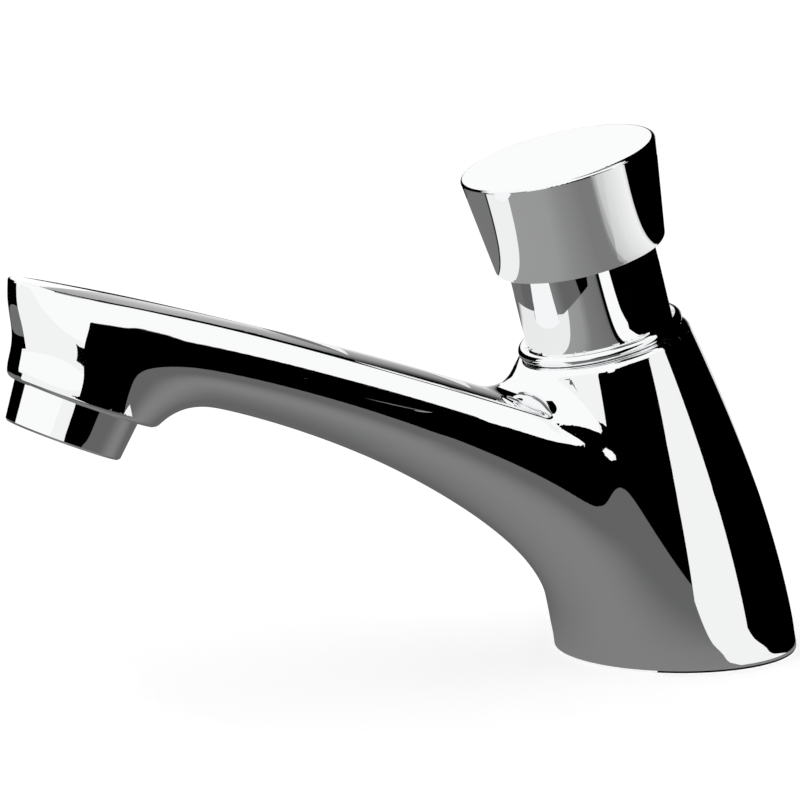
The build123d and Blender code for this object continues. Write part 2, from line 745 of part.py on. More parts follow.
lower_seal_height, upper_seal_height = barrel_ring_heights()
pieces = {
    "tap_body": make_tap_body(),
    "collar_ring": make_collar_ring(),
    "neck_sleeve": make_neck_sleeve(),
    "guide_bush": make_guide_bush(),
    "gland_nut": make_gland_nut(),
    "stem_seal_ring": make_stem_seal_ring(),
    "cartridge_barrel": make_cartridge_barrel(),
    "barrel_seal_lower": make_barrel_seal(lower_seal_height),
    "barrel_seal_upper": make_barrel_seal(upper_seal_height),
    "seat_ring": make_seat_ring(),
    "timing_pin": make_timing_pin(),
    "return_spring": make_return_spring(),
    "push_button": make_push_button(),
    "button_locknut": make_button_locknut(),
    "stem": make_stem(),
    "piston": make_piston(),
    "lip_seal": make_lip_seal(),
    "piston_circlip": make_piston_circlip(),
    "valve_washer": make_valve_washer(),
    "washer_plate": make_washer_plate(),
    "valve_nut": make_valve_nut(),
    "inlet_strainer": make_inlet_strainer(),
    "strainer_clip": make_strainer_clip(),
    "base_seal": make_base_seal(),
    "aerator_housing": make_aerator_housing(),
    "aerator_washer": make_aerator_washer(),
    "aerator_screen": make_aerator_screen(),
    "aerator_insert": make_aerator_insert(),
    "flow_regulator": make_flow_regulator(),
}
for name, piece in pieces.items():
    export_step(piece, "parts/" + name + ".step")
    print(name, "volume", round(piece.volume), "cubic millimetres in", len(piece.solids()), "solid")
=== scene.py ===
# %% [markdown]
# A push timed tap is one chromed casting with a button on a bright neck and a small aerator in its
# nozzle. Its looks come almost only from what the chrome mirrors, so this lesson spends its effort on
# three things: a casting whose forms melt into each other without a crease, a studio whose panels give
# the bands of white, black and grey, and finishes that are not perfectly even.
#
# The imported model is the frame. Its joints, sizes and hidden parts stay as they are. Lengths are in
# metres, and the bore, the neck and the button share one axis that leans towards the spout.

# %% Load the frame
import json
from math import atan2, cos, degrees, pi, radians, sin

import bmesh
import bpy
import numpy as np
from mathutils import Matrix, Vector


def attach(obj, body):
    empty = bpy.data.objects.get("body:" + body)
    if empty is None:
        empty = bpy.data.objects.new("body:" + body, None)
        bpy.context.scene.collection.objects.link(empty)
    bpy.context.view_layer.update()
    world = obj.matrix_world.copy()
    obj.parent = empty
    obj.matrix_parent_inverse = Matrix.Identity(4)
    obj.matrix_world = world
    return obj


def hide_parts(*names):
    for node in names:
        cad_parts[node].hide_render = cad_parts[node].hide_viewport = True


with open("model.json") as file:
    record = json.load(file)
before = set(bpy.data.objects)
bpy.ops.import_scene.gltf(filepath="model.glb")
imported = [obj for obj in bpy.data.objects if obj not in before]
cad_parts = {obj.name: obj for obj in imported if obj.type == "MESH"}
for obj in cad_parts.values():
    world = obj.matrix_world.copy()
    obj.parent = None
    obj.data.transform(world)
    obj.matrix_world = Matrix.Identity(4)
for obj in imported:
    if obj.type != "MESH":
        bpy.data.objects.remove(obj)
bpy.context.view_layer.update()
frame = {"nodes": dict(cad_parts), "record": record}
mm = 0.001
axis_lean = radians(15)

# %% [markdown]
# The camera stands a metre away, a little above the button, and looks past the right flank of the tap
# with the spout pointing left. A long lens keeps the column's edges nearly parallel, as in a catalogue
# picture. The place is written as two angles, a distance and the point looked at, which is easier to
# tune than a matrix.

# %% Place the camera
view_azimuth = radians(66)
view_elevation = radians(10.73)
view_distance = 1.0
view_target = Vector((0, -0.05998, 0.05453))
lens_length = 234.1
film_width = 36.0

view_back = Vector((sin(view_azimuth) * cos(view_elevation), -cos(view_azimuth) * cos(view_elevation),
                    sin(view_elevation)))
camera = bpy.data.objects.new("camera", bpy.data.cameras.new("camera"))
camera.data.lens = lens_length
camera.data.sensor_width = film_width
camera.data.clip_end = 50
camera.location = view_target + view_back * view_distance
camera.rotation_euler = view_back.to_track_quat("Z", "Y").to_euler()
bpy.context.scene.collection.objects.link(camera)
bpy.context.scene.camera = camera
bpy.context.scene.view_settings.view_transform = "Standard"
print("camera at", [round(value, 3) for value in camera.location])

# %% [markdown]
# Materials are made of nodes. These three helpers start a material, add a node with its values and
# wire two sockets, so that each finish below reads as a short recipe.

# %% Helpers for node trees
def new_material(name):
    """An empty node material with its Principled shader wired to the output."""
    material = bpy.data.materials.new(name)
    material.use_nodes = True
    tree = material.node_tree
    tree.nodes.clear()
    shader = tree.nodes.new("ShaderNodeBsdfPrincipled")
    output = tree.nodes.new("ShaderNodeOutputMaterial")
    tree.links.new(shader.outputs["BSDF"], output.inputs["Surface"])
    return material, tree, shader


def add_node(tree, kind, **values):
    """A node of a kind, its inputs or settings given by name."""
    node = tree.nodes.new(kind)
    for name, value in values.items():
        if name in node.inputs:
            node.inputs[name].default_value = value
        else:
            setattr(node, name, value)
    return node


def wire(tree, start, end):
    """Join an output socket to an input socket."""
    tree.links.new(start, end)


print("node helpers: new_material, add_node, wire")

# %% [markdown]
# The studio is a pale floor and a pale world. Both are white to the camera and to mirror and glass
# rays, so the picture has a clean background, while diffuse light still falls on the floor and leaves
# the tap its soft shadow.

# %% Make the floor and the world
floor_size = 12.0
floor_grey = 0.82
world_light = 0.75
floor_lift = 0.45


def background_share(tree):
    """One for camera, mirror and glass rays, zero for the rays that light a surface."""
    path = add_node(tree, "ShaderNodeLightPath")
    first = add_node(tree, "ShaderNodeMath", operation="ADD", use_clamp=True)
    second = add_node(tree, "ShaderNodeMath", operation="ADD", use_clamp=True)
    wire(tree, path.outputs["Is Camera Ray"], first.inputs[0])
    wire(tree, path.outputs["Is Glossy Ray"], first.inputs[1])
    wire(tree, first.outputs[0], second.inputs[0])
    wire(tree, path.outputs["Is Transmission Ray"], second.inputs[1])
    return second.outputs[0]


world = bpy.data.worlds.new("studio")
world.use_nodes = True
world_tree = world.node_tree
world_tree.nodes.clear()
world_strength = add_node(world_tree, "ShaderNodeMapRange")
world_strength.inputs["To Min"].default_value = world_light
wire(world_tree, background_share(world_tree), world_strength.inputs["Value"])
world_colour = add_node(world_tree, "ShaderNodeBackground", Color=(1, 1, 1, 1))
wire(world_tree, world_strength.outputs[0], world_colour.inputs["Strength"])
world_output = add_node(world_tree, "ShaderNodeOutputWorld")
wire(world_tree, world_colour.outputs[0], world_output.inputs["Surface"])
bpy.context.scene.world = world

floor_material, floor_tree, floor_shader = new_material("pale_floor")
floor_shader.inputs["Base Color"].default_value = (floor_grey, floor_grey, floor_grey, 1)
floor_shader.inputs["Roughness"].default_value = 0.9
floor_shader.inputs["Specular IOR Level"].default_value = 0.1
floor_glow = add_node(floor_tree, "ShaderNodeMath", operation="MULTIPLY")
floor_glow.inputs[1].default_value = floor_lift
wire(floor_tree, background_share(floor_tree), floor_glow.inputs[0])
wire(floor_tree, floor_glow.outputs[0], floor_shader.inputs["Emission Strength"])
floor_mesh = bpy.data.meshes.new("floor")
half_floor = floor_size / 2
floor_mesh.from_pydata([(-half_floor, -half_floor, 0), (half_floor, -half_floor, 0),
                        (half_floor, half_floor, 0), (-half_floor, half_floor, 0)], [], [(0, 1, 2, 3)])
floor_mesh.materials.append(floor_material)
floor = bpy.data.objects.new("floor", floor_mesh)
bpy.context.scene.collection.objects.link(floor)
print("floor", floor_size, "m wide, world light", world_light)

# %% [markdown]
# Chrome has no colour of its own. What reads as chrome in a catalogue picture is a set of panels round
# the tap: black flags at the height of the eye, white all over the spout's side, a narrow white strip
# beside the column and a small grey table below. Each panel here is a curved card that only mirror
# rays see, so it shapes the reflections and nothing else. Angles are counted in degrees from the
# camera, positive towards the right of the picture.

# %% Helpers for the cards
card_centre = Vector((0, -0.06, 0.05))
card_distance = 1.5
card_step = 3.0
card_rows = 9
facing = degrees(atan2(view_back.y, view_back.x))


def ring_point(reach, turn, height, centre=Vector((0, 0, 0))):
    """A point at a distance from an upright axis, turned by so many degrees from the camera."""
    around = radians(facing + turn)
    return Vector((centre.x + reach * cos(around), centre.y + reach * sin(around), height))


def only_for_mirrors(card):
    """Hide a staged object from every ray but mirror rays."""
    card.visible_camera = False
    card.visible_diffuse = False
    card.visible_shadow = False
    card.visible_transmission = False
    card.visible_volume_scatter = False
    bpy.context.scene.collection.objects.link(card)


def card_object(name, points, across, glow, from_above=False):
    """A net of quads over rows of points. Its glow is one brightness, or one for each point."""
    starts = [start for start in range(len(points) - across) if (start + 1) % across]
    faces = [(start, start + 1, start + across + 1, start + across) for start in starts]
    mesh = bpy.data.meshes.new(name)
    mesh.from_pydata(points, [], faces)
    shine = mesh.attributes.new("shine", "FLOAT", "POINT")
    shine.data.foreach_set("value", (np.zeros(len(points)) + glow).astype(np.float32))
    material = bpy.data.materials.new(name)
    material.use_nodes = True
    tree = material.node_tree
    tree.nodes.clear()
    painted = add_node(tree, "ShaderNodeAttribute", attribute_name="shine")
    lamp = add_node(tree, "ShaderNodeEmission")
    wire(tree, painted.outputs["Fac"], lamp.inputs["Strength"])
    output = add_node(tree, "ShaderNodeOutputMaterial")
    seen = lamp.outputs[0]
    if from_above:
        side = add_node(tree, "ShaderNodeNewGeometry")
        clear = add_node(tree, "ShaderNodeBsdfTransparent")
        chosen = add_node(tree, "ShaderNodeMixShader")
        wire(tree, side.outputs["Backfacing"], chosen.inputs[0])
        wire(tree, clear.outputs[0], chosen.inputs[1])
        wire(tree, seen, chosen.inputs[2])
        seen = chosen.outputs[0]
    wire(tree, seen, output.inputs["Surface"])
    mesh.materials.append(material)
    only_for_mirrors(bpy.data.objects.new(name, mesh))


def hang_card(name, outline, glow):
    """A curved card round the tap. The outline gives turn, low and high angles from left to right.

    The glow is one brightness, or a list from the foot of the card to its top.
    """
    marks, lows, highs = np.array(outline, float).T
    turns = np.linspace(marks[0], marks[-1], int((marks[-1] - marks[0]) / card_step) + 2)
    levels = np.atleast_1d(glow)
    shares = np.linspace(0, 1, max(card_rows, len(levels)))
    points = []
    glows = []
    for share in shares:
        for turn in turns:
            low = np.interp(turn, marks, lows)
            high = np.interp(turn, marks, highs)
            rise = radians(low + (high - low) * share)
            around = radians(facing + turn)
            away = Vector((cos(rise) * cos(around), cos(rise) * sin(around), sin(rise)))
            points.append(card_centre + card_distance * away)
            glows.append(np.interp(share, np.linspace(0, 1, len(levels)), levels))
    card_object(name, points, len(turns), glows)


def lay_card(name, left, right, inner, outer, height, glow, centre=card_centre):
    """A flat ring sector on the table between two angles round the tap."""
    turns = np.linspace(left, right, int((right - left) / card_step) + 2)
    points = [ring_point(reach, turn, height, centre) for reach in (inner, outer) for turn in turns]
    card_object(name, points, len(turns), glow)


print("the camera stands", round(facing), "degrees round the tap")

# %% [markdown]
# The cards follow the horizon from the camera round to its right. The front flag climbs from a point
# and draws the black band along the spout. The right flag climbs on to the zenith and darkens the
# column's right side. Opposite the camera hangs a grey glow that fades upwards, with a black ceiling
# over it, and the far flag is black again. The camera's left is open to the white world, and only its
# lowest degrees have a card, a little less white. Each outline is a few turns with the low and the
# high edge of the card there.

# %% Hang the cards
horizon = -1.9
black_card = 0.0
white_card = 0.93
fading_glow = [0.75, 0.6, 0.45, 0.4, 0.35, 0.3, 0.2, 0.08, 0.0]
hang_card("front_flag", [(5, horizon, horizon + 0.2), (9, horizon, 2), (26, horizon, 19),
                         (48, horizon, 19.5), (56, horizon, 15), (60, horizon, 15.5)], black_card)
hang_card("right_flag", [(60, horizon, 15.5), (75, horizon, 24), (90, horizon, 60),
                         (155, horizon, 88)], black_card)
hang_card("far_glow", [(155, horizon, 13.5), (184, horizon, 13.5)], fading_glow)
hang_card("far_ceiling", [(155, 13.5, 88), (181, 13.5, 88)], black_card)
hang_card("far_flag", [(186, horizon, 8), (238, horizon, 30), (253, horizon, 30)], black_card)
hang_card("box_front", [(253, horizon, 1), (365, horizon, 1)], white_card)
hang_card("ceiling_front", [(-15, 66, 88), (90, 66, 88)], black_card)
print("hung seven cards", card_distance, "m away")

# %% [markdown]
# Each card has a foot: a sheet of about the same brightness that runs over the table from a little
# way off the tap out to the card. The spout's underside and the foot of the column mirror these.

# %% Lay the foot cards
floor_sheet = 0.4 * mm
foot_start = 50 * mm
far_foot_start = 350 * mm
far_grey = 0.16
lay_card("front_foot", -8, 60, foot_start, card_distance, floor_sheet, black_card)
lay_card("right_foot", 60, 155, foot_start, card_distance, floor_sheet, black_card)
lay_card("back_foot", 155, 184, foot_start, card_distance, floor_sheet, fading_glow[0])
lay_card("far_foot", 184, 263, far_foot_start, card_distance, floor_sheet, black_card)
lay_card("far_grey_foot", 184, 263, foot_start, far_foot_start, floor_sheet, far_grey)
lay_card("left_foot", 263, 352, foot_start, card_distance, floor_sheet, white_card)
print("laid six foot cards from", foot_start, "m outwards")

# %% [markdown]
# The camera looks down a little, so the neck and the button mirror what lies low around them, and the
# casting just below would darken them. In a studio their stripes come from cards held close. Here
# each of them has a shelf under it, square to the leaning axis and painted in sectors. It is seen only
# from above, so the casting below doesn't mirror it, and it reaches only as far as the spout allows.

# %% Paint the two shelves
shelf_hole = 4 * mm


def shelf_card(name, height, near, zones):
    """A shelf square to the leaning axis, seen only from above, painted in sectors.

    Its brightness runs round the axis from one pair of turn and brightness to the next. It reaches
    the near distance over the spout and behind, and far out on the camera's right.
    """
    marks, levels = np.array(zones, float).T
    edges = [(-180, near), (-40, near), (0, 0.06), (5, 0.085), (34, 0.085), (36, 0.15), (60, 0.15),
             (62, card_distance), (150, card_distance), (152, near), (180, near)]
    turns = np.union1d(np.arange(-180, 181, card_step), marks)
    reaches = [shelf_hole] * len(turns) + list(np.interp(turns, *np.array(edges).T))
    place = Matrix.Rotation(axis_lean, 4, "X")
    points = [place @ ring_point(reach, turn, height) for reach, turn in zip(reaches, np.tile(turns, 2))]
    glows = np.tile(np.interp(turns, marks, levels), 2)
    card_object(name, points, len(turns), glows, from_above=True)


shelf_card("button_shelf", 82.6 * mm, 65 * mm, [
    (-180, 0.18), (-92, 0.18), (-91.7, 0.02), (-89.3, 0.02), (-89, 0.9), (-60, 0.9), (-59.7, 0.33),
    (-22, 0.32), (-8, 0.26), (14, 0.2), (27, 0.2), (34, 0.62), (47, 0.78), (64, 0.92), (68, 0.7),
    (69, 0.0), (180, 0.0)])
shelf_card("neck_shelf", 67.9 * mm, 42 * mm, [
    (-180, 0.13), (-132, 0.13), (-118, 0.84), (-33, 0.87), (-32.7, 0.33), (-18, 0.31), (-9, 0.2),
    (12, 0.16), (14.5, 0.0), (18, 0.0), (18.3, 1.0), (33, 1.0), (33.3, 0.0), (180, 0.0)])
print("painted two shelves square to the leaning axis")

# %% [markdown]
# The bright strip down the column is a card close beside it. It is wider at its foot than at its top,
# and it runs on over the table to the base, so the reflection reaches down to the deck. Each of its
# rows is a height in millimetres, or a reach over the table, with the turn of its left edge.

# %% Stand the near strip beside the column
near_distance = 92 * mm
near_right = 66
near_steps = 20
over_sheet = 1.2 * mm
beside_base = 24.5 * mm
near_rows = ((1, 22), (30, 26), (48, 30), (63, 35), (78, 40), (125, 40))
near_foot_rows = ((beside_base, 30), (45 * mm, 25), (near_distance, near_rows[0][1]))


def strip_card(name, rows):
    """A white card whose rows of reach, height and left turn all end at the same right turn."""
    points = [ring_point(reach, turn, height) for reach, height, left in rows
              for turn in np.linspace(left, near_right, near_steps)]
    card_object(name, points, near_steps, white_card)


strip_card("near_strip", [(near_distance, height * mm, left) for height, left in near_rows])
strip_card("near_foot", [(reach, over_sheet, left) for reach, left in near_foot_rows])
lay_card("near_flag_foot", near_right, 155, beside_base, near_distance, over_sheet, black_card,
         centre=Vector((0, 0, 0)))
print("the strip stands", near_distance, "m from the middle of the base")

# %% [markdown]
# The table itself is small, round and grey, with a slightly brighter streak along the spout. Its edge
# is what ends the grey sweep on the spout's underside and on the foot of the column.

# %% Lay the table disc
table_centre = (0, -0.09)
table_radius = 0.15
table_lift = 0.0008
table_streak_grey = 0.22
table_side_grey = 0.13
table_streak_middle = 0.018
table_streak_reach = 0.06

table_material = bpy.data.materials.new("table_disc")
table_material.use_nodes = True
table_tree = table_material.node_tree
table_tree.nodes.clear()
table_place = add_node(table_tree, "ShaderNodeTexCoord")
table_axes = add_node(table_tree, "ShaderNodeSeparateXYZ")
wire(table_tree, table_place.outputs["Object"], table_axes.inputs[0])
table_offset = add_node(table_tree, "ShaderNodeMath", operation="SUBTRACT")
table_offset.inputs[1].default_value = table_streak_middle
wire(table_tree, table_axes.outputs["X"], table_offset.inputs[0])
table_beside = add_node(table_tree, "ShaderNodeMath", operation="ABSOLUTE")
wire(table_tree, table_offset.outputs[0], table_beside.inputs[0])
table_fade = add_node(table_tree, "ShaderNodeMapRange", interpolation_type="SMOOTHSTEP")
table_fade.inputs["From Max"].default_value = table_streak_reach
table_fade.inputs["To Min"].default_value = table_streak_grey
table_fade.inputs["To Max"].default_value = table_side_grey
wire(table_tree, table_beside.outputs[0], table_fade.inputs["Value"])
table_glow = add_node(table_tree, "ShaderNodeEmission")
wire(table_tree, table_fade.outputs[0], table_glow.inputs["Strength"])
table_output = add_node(table_tree, "ShaderNodeOutputMaterial")
wire(table_tree, table_glow.outputs[0], table_output.inputs["Surface"])

table_mesh = bpy.data.meshes.new("table_disc")
table_rim = [(table_centre[0] + table_radius * cos(turn), table_centre[1] + table_radius * sin(turn),
              table_lift) for turn in np.arange(0, 2 * pi, radians(card_step))]
table_mesh.from_pydata(table_rim, [], [range(len(table_rim))])
table_mesh.materials.append(table_material)
only_for_mirrors(bpy.data.objects.new("table_disc", table_mesh))
print("table disc", table_radius, "m in radius")

# %% [markdown]
# Chrome plate is a mirror with a faint haze: polishing and handling leave a film that is a little
# rougher in patches. One node group makes that haze as a roughness, and every polished finish takes
# it with its own values. The casting's patches are larger than those of the small turned trim.

# %% Build the haze group
def haze_group():
    """A group that turns a place into a patchy roughness between a low and a high value."""
    group = bpy.data.node_groups.new("polish_haze", "ShaderNodeTree")
    for name, value in (("Scale", 60.0), ("Low", 0.02), ("High", 0.06)):
        socket = group.interface.new_socket(name, in_out="INPUT", socket_type="NodeSocketFloat")
        socket.default_value = value
    group.interface.new_socket("Roughness", in_out="OUTPUT", socket_type="NodeSocketFloat")
    start = add_node(group, "NodeGroupInput")
    end = add_node(group, "NodeGroupOutput")
    place = add_node(group, "ShaderNodeTexCoord")
    patches = add_node(group, "ShaderNodeTexNoise", Detail=4.0, Roughness=0.55)
    wire(group, place.outputs["Object"], patches.inputs["Vector"])
    wire(group, start.outputs["Scale"], patches.inputs["Scale"])
    spread = add_node(group, "ShaderNodeMapRange", interpolation_type="SMOOTHSTEP")
    spread.inputs["From Min"].default_value = 0.4
    spread.inputs["From Max"].default_value = 0.75
    wire(group, patches.outputs[0], spread.inputs["Value"])
    wire(group, start.outputs["Low"], spread.inputs["To Min"])
    wire(group, start.outputs["High"], spread.inputs["To Max"])
    wire(group, spread.outputs[0], end.inputs["Roughness"])
    return group


polish_haze = haze_group()
print("group", polish_haze.name, "with", len(polish_haze.nodes), "nodes")


# %% Make the chrome
def polished_metal(name, colour, scale, low, high):
    """A mirror finish whose roughness varies in faint patches."""
    material, tree, shader = new_material(name)
    shader.inputs["Base Color"].default_value = colour
    shader.inputs["Metallic"].default_value = 1.0
    haze = add_node(tree, "ShaderNodeGroup", node_tree=polish_haze)
    haze.inputs["Scale"].default_value = scale
    haze.inputs["Low"].default_value = low
    haze.inputs["High"].default_value = high
    wire(tree, haze.outputs["Roughness"], shader.inputs["Roughness"])
    return material


chrome_colour = (0.95, 0.955, 0.96, 1)
finish_of = {
    "chromed_casting": polished_metal("chromed_casting", chrome_colour, scale=45, low=0.015, high=0.04),
    "chromed_trim": polished_metal("chromed_trim", chrome_colour, scale=90, low=0.01, high=0.03),
}
print("chrome finishes:", ", ".join(finish_of))

# %% [markdown]
# The turned parts inside carry fine rings from the lathe, square to the leaning axis. One node group
# makes those rings as a height. Brass and steel take them plainly. Acetal takes them faintly, under a
# satin skin, and rubber has only the dull grain of its mould.

# %% Build the turning marks group
def turning_group():
    """A group that gives fine rings along the leaning axis and a slow patchiness."""
    group = bpy.data.node_groups.new("turning_marks", "ShaderNodeTree")
    for name, value in (("Rings", 9000.0), ("Patches", 220.0)):
        socket = group.interface.new_socket(name, in_out="INPUT", socket_type="NodeSocketFloat")
        socket.default_value = value
    group.interface.new_socket("Height", in_out="OUTPUT", socket_type="NodeSocketFloat")
    group.interface.new_socket("Patch", in_out="OUTPUT", socket_type="NodeSocketFloat")
    start = add_node(group, "NodeGroupInput")
    end = add_node(group, "NodeGroupOutput")
    place = add_node(group, "ShaderNodeTexCoord")
    along = add_node(group, "ShaderNodeVectorMath", operation="DOT_PRODUCT")
    along.inputs[1].default_value = (0, -sin(axis_lean), cos(axis_lean))
    wire(group, place.outputs["Object"], along.inputs[0])
    rings = add_node(group, "ShaderNodeTexNoise", noise_dimensions="1D")
    rings.inputs["Detail"].default_value = 2.0
    wire(group, along.outputs["Value"], rings.inputs["W"])
    wire(group, start.outputs["Rings"], rings.inputs["Scale"])
    patches = add_node(group, "ShaderNodeTexNoise")
    wire(group, place.outputs["Object"], patches.inputs["Vector"])
    wire(group, start.outputs["Patches"], patches.inputs["Scale"])
    wire(group, rings.outputs[0], end.inputs["Height"])
    wire(group, patches.outputs[0], end.inputs["Patch"])
    return group


turning_marks = turning_group()
print("group", turning_marks.name, "with", len(turning_marks.nodes), "nodes")


# %% Make the finishes of the inner parts
ring_depth = 0.02 * mm


def turned_finish(name, colour, metallic, low, high, depth, rings=9000.0):
    """A turned or moulded finish: rings as bumps, patches as roughness."""
    material, tree, shader = new_material(name)
    shader.inputs["Base Color"].default_value = colour
    shader.inputs["Metallic"].default_value = metallic
    marks = add_node(tree, "ShaderNodeGroup", node_tree=turning_marks)
    marks.inputs["Rings"].default_value = rings
    spread = add_node(tree, "ShaderNodeMapRange")
    spread.inputs["From Min"].default_value = 0.35
    spread.inputs["From Max"].default_value = 0.65
    spread.inputs["To Min"].default_value = low
    spread.inputs["To Max"].default_value = high
    wire(tree, marks.outputs["Patch"], spread.inputs["Value"])
    wire(tree, spread.outputs[0], shader.inputs["Roughness"])
    bump = add_node(tree, "ShaderNodeBump")
    bump.inputs["Strength"].default_value = depth
    bump.inputs["Distance"].default_value = ring_depth
    wire(tree, marks.outputs["Height"], bump.inputs["Height"])
    wire(tree, bump.outputs[0], shader.inputs["Normal"])
    return material


finish_of["brass"] = turned_finish(
    "brass", (0.62, 0.42, 0.17, 1), metallic=1.0, low=0.16, high=0.3, depth=0.5)
finish_of["stainless_steel"] = turned_finish(
    "stainless_steel", (0.6, 0.59, 0.57, 1), metallic=1.0, low=0.2, high=0.34, depth=0.4)
finish_of["white_acetal"] = turned_finish(
    "white_acetal", (0.8, 0.8, 0.76, 1), metallic=0.0, low=0.34, high=0.46, depth=0.15)
finish_of["grey_acetal"] = turned_finish(
    "grey_acetal", (0.11, 0.115, 0.12, 1), metallic=0.0, low=0.34, high=0.48, depth=0.15)
finish_of["black_rubber"] = turned_finish(
    "black_rubber", (0.012, 0.012, 0.012, 1), metallic=0.0, low=0.6, high=0.8, depth=0.3, rings=2500.0)
machined_casting = turned_finish(
    "machined_casting", (0.5, 0.38, 0.2, 1), metallic=1.0, low=0.25, high=0.42, depth=0.5, rings=5000.0)

# %% [markdown]
# All pieces but the casting are turned, wound, stamped or moulded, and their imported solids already
# have the walls and chamfers of real ones. Modelling them again would gain nothing, so they only get
# the finish that their slot in the record names.

# %% Dress the parts that come from the frame
for part in frame["record"]["subparts"]:
    materials = frame["nodes"][part["node"]].data.materials
    materials.clear()
    materials.append(finish_of[part["material_slot"]])

# %% [markdown]
# The casting is the base, the leaning column, the spout and the nozzle boss in one piece. A foundry
# casts it in brass, grinds every joint round by hand and polishes it until no crease is left. A mesh
# pulled about by hand would show each dent in its reflections, so the casting is written as a field
# here: a formula for the distance to the surface, negative inside. Fields join, round off and smooth
# as grinding does, and one net is drawn over the result at the end.
#
# The column comes first: a circle that shrinks and leans forward as it climbs.

# %% Sizes of the column, the mouth and the nozzle
base_radius = 24.0 * mm
base_edge_round = 1.0 * mm
mouth_height = 65.6 * mm
mouth_radius = 17.2 * mm
mouth_edge_round = 1.5 * mm
tip_reach = 138.2 * mm
tip_height = 83.4 * mm
nozzle_reach = 126.2 * mm
nozzle_height = 59.5 * mm
nozzle_lean = radians(22)
nozzle_radius = 13.6 * mm
print("base", 2 * base_radius, "m across, spout reaches", tip_reach, "m forward")

# %% The column as a field
column_bend_power = 1.2
column_taper_power = 1.75
column_top_share = 1.4
column_rounds = 6
column_pull = 0.9


def along_axis(y, z, tilt, origin_y=0, origin_z=0):
    """Places behind an axis and up along it. The axis leans towards the spout by its tilt."""
    behind = (y - origin_y) * np.cos(tilt) + (z - origin_z) * np.sin(tilt)
    up = (z - origin_z) * np.cos(tilt) - (y - origin_y) * np.sin(tilt)
    return behind, up


def along_nozzle(y, z):
    """Places behind the nozzle's axis and up along it. That axis leans away from the spout's root."""
    return along_axis(y, z, -nozzle_lean, -nozzle_reach, nozzle_height)


def column_field(x, y, z):
    """Distance to the side of the column, whose axis leans more with each step up."""
    share = np.clip(z / (mouth_height * cos(axis_lean)), 0.0, column_top_share)
    for _ in range(column_rounds):
        origin_y = -mouth_height * sin(axis_lean) * share ** column_bend_power
        origin_z = mouth_height * cos(axis_lean) * share
        behind, up = along_axis(y, z, axis_lean * share, origin_y, origin_z)
        share = np.clip(share + column_pull * up / mouth_height, 0.0, column_top_share)
    radius = base_radius - (base_radius - mouth_radius) * share ** column_taper_power
    return np.hypot(x, behind) - radius


print("column", base_radius, "m in radius at the deck and", mouth_radius, "m at its mouth")

# %% [markdown]
# From the side the spout is two lines: a top that is one long, almost straight arc, and an underside
# that sweeps from the nozzle boss down to the deck. The underside runs through a few points in a
# natural cubic, the curve that a bent ruler takes, because it has no sudden change of bend for the
# chrome to show.

# %% The spout's side view
top_crown = 1.35 * mm
mouth_front = np.array([-mouth_height * sin(axis_lean) - mouth_radius * cos(axis_lean),
                        mouth_height * cos(axis_lean) - mouth_radius * sin(axis_lean)])
top_tip = np.array([-tip_reach, tip_height])
root_inside = np.array([21.6, -13.5]) * mm
top_root = mouth_front + root_inside
top_chord = top_root - top_tip
top_span = np.hypot(*top_chord)
top_up = np.array([-top_chord[1], top_chord[0]]) / top_span
top_radius = top_span ** 2 / (8 * top_crown) + top_crown / 2
top_centre = (top_tip + top_root) / 2 + top_up * (top_crown - top_radius)
nose_top_reach = 12.9 * mm
top_sweep = 2 * np.arcsin(top_span / 2 / top_radius)
crest_share = nose_top_reach / (top_sweep * top_radius)


def top_point(share):
    """A point of the top line, from the crest over the nozzle back to its root."""
    turn = (crest_share + (1 - crest_share) * share - 0.5) * top_sweep
    ahead = top_chord / top_span
    return (top_centre[0] + top_radius * (np.cos(turn) * top_up[0] + np.sin(turn) * ahead[0]),
            top_centre[1] + top_radius * (np.cos(turn) * top_up[1] + np.sin(turn) * ahead[1]))


under_shares = ((0.91, 0.967), (0.717, 0.884), (0.463, 0.723), (0.278, 0.563), (0.158, 0.43),
                (0.064, 0.281))
under_start = (-125.08 * mm, 60.13 * mm)
under_count = 600
under_span = nozzle_reach - nozzle_radius - base_radius
under_middle = [(-base_radius - under_span * reach, nozzle_height * height)
                for reach, height in under_shares]
under_end = (base_edge_round - base_radius, 2 * base_edge_round)
under_points = np.array([under_start, *under_middle, under_end])


def smooth_line(points, count):
    """A natural cubic through points, sampled evenly along its length."""
    steps = np.hypot(*np.diff(points, axis=0).T)
    knots = np.concatenate([[0], np.cumsum(steps)])
    size = len(points)
    system = np.eye(size)
    pull = np.zeros((size, 2))
    for row in range(1, size - 1):
        before, after = steps[row - 1], steps[row]
        system[row, row - 1:row + 2] = before, 2 * (before + after), after
        pull[row] = 6 * ((points[row + 1] - points[row]) / after - (points[row] - points[row - 1]) / before)
    bend = np.linalg.solve(system, pull)
    places = np.linspace(0, knots[-1], 8 * count)
    span = np.clip(np.searchsorted(knots, places, side="right") - 1, 0, size - 2)
    width = steps[span][:, None]
    ahead = (places - knots[span])[:, None]
    rest = width - ahead
    line = (bend[span] * rest ** 3 + bend[span + 1] * ahead ** 3) / (6 * width) \
        + (points[span] / width - bend[span] * width / 6) * rest \
        + (points[span + 1] / width - bend[span + 1] * width / 6) * ahead
    length = np.concatenate([[0], np.cumsum(np.hypot(*np.diff(line, axis=0).T))])
    even = np.linspace(0, length[-1], count)
    return np.interp(even, length, line[:, 0]), np.interp(even, length, line[:, 1])


even_shares = np.linspace(0, 1, under_count)
under_y, under_z = smooth_line(under_points, under_count)
print("top line", round(top_span, 4), "m long, underside of", under_count, "points")

# %% [markdown]
# Across, the spout has a flat top with a sharp polished rim, sides that lean in under the rim and a
# round keel. Its sections stand like a fan between the two lines, so they turn from upright at the
# nozzle to nearly flat at the deck. The field finds the section that a place lies in, and then how
# far outside that section's oval the place is.

